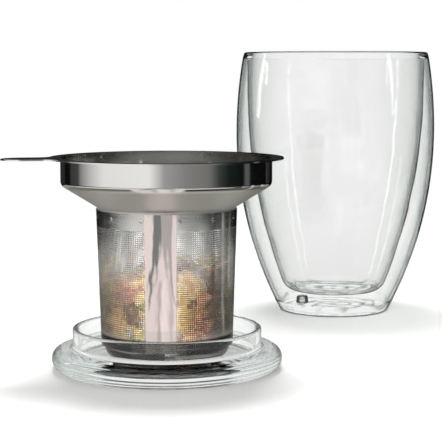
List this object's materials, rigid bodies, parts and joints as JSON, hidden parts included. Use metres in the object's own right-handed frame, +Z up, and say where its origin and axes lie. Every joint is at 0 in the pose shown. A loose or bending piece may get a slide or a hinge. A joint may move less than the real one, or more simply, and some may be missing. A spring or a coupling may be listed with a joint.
{
  "type": "tea mug with infuser and lid",
  "caption": "Double-walled glass tea mug, with a steel infuser basket that lifts out by a long tab, and a loose round glass lid that turns over to be the infuser's saucer.",
  "frame": {"origin": "centre of the mug's foot, on the surface it stands on", "axes": "+Z up the mug's axis, out of its mouth; +X to the mug's right as it is seen past the infuser; the lid and the infuser stand to its left and nearer, at -X and -Y"},
  "size_m": [0.1784, 0.2241, 0.1195],
  "materials": {
    "mug_glass": "clear blown borosilicate glass",
    "lid_glass": "clear pressed borosilicate glass",
    "polished_steel": "stainless steel, polished",
    "etched_steel": "etched stainless steel sheet with fine square holes",
    "tea": "loose dried leaves, petals and fruit peel"
  },
  "bodies": {
    "mug": {"outer_glass": "mug_glass", "inner_glass": "mug_glass", "vent_seal": "mug_glass"},
    "lid": {"lid_disc": "lid_glass", "lid_collar": "lid_glass"},
    "infuser": {"funnel": "polished_steel", "rim_flange": "polished_steel", "basket_screen": "etched_steel", "seam_lap": "polished_steel", "foot_cup": "polished_steel", "spot_welds": "polished_steel"},
    "tea": {"tea_leaves": "tea"}
  },
  "joints": [
    {"name": "lid_lift", "type": "slide", "parent": "mug", "child": "lid", "axis": [0, 0, 1], "range_m": [0, 0.12]},
    {"name": "infuser_lift", "type": "slide", "parent": "lid", "child": "infuser", "axis": [0, 0, 1], "range_m": [0, 0.12]},
    {"name": "tea_lift", "type": "slide", "parent": "infuser", "child": "tea", "axis": [0, 0, 1], "range_m": [0, 0.085]}
  ]
}
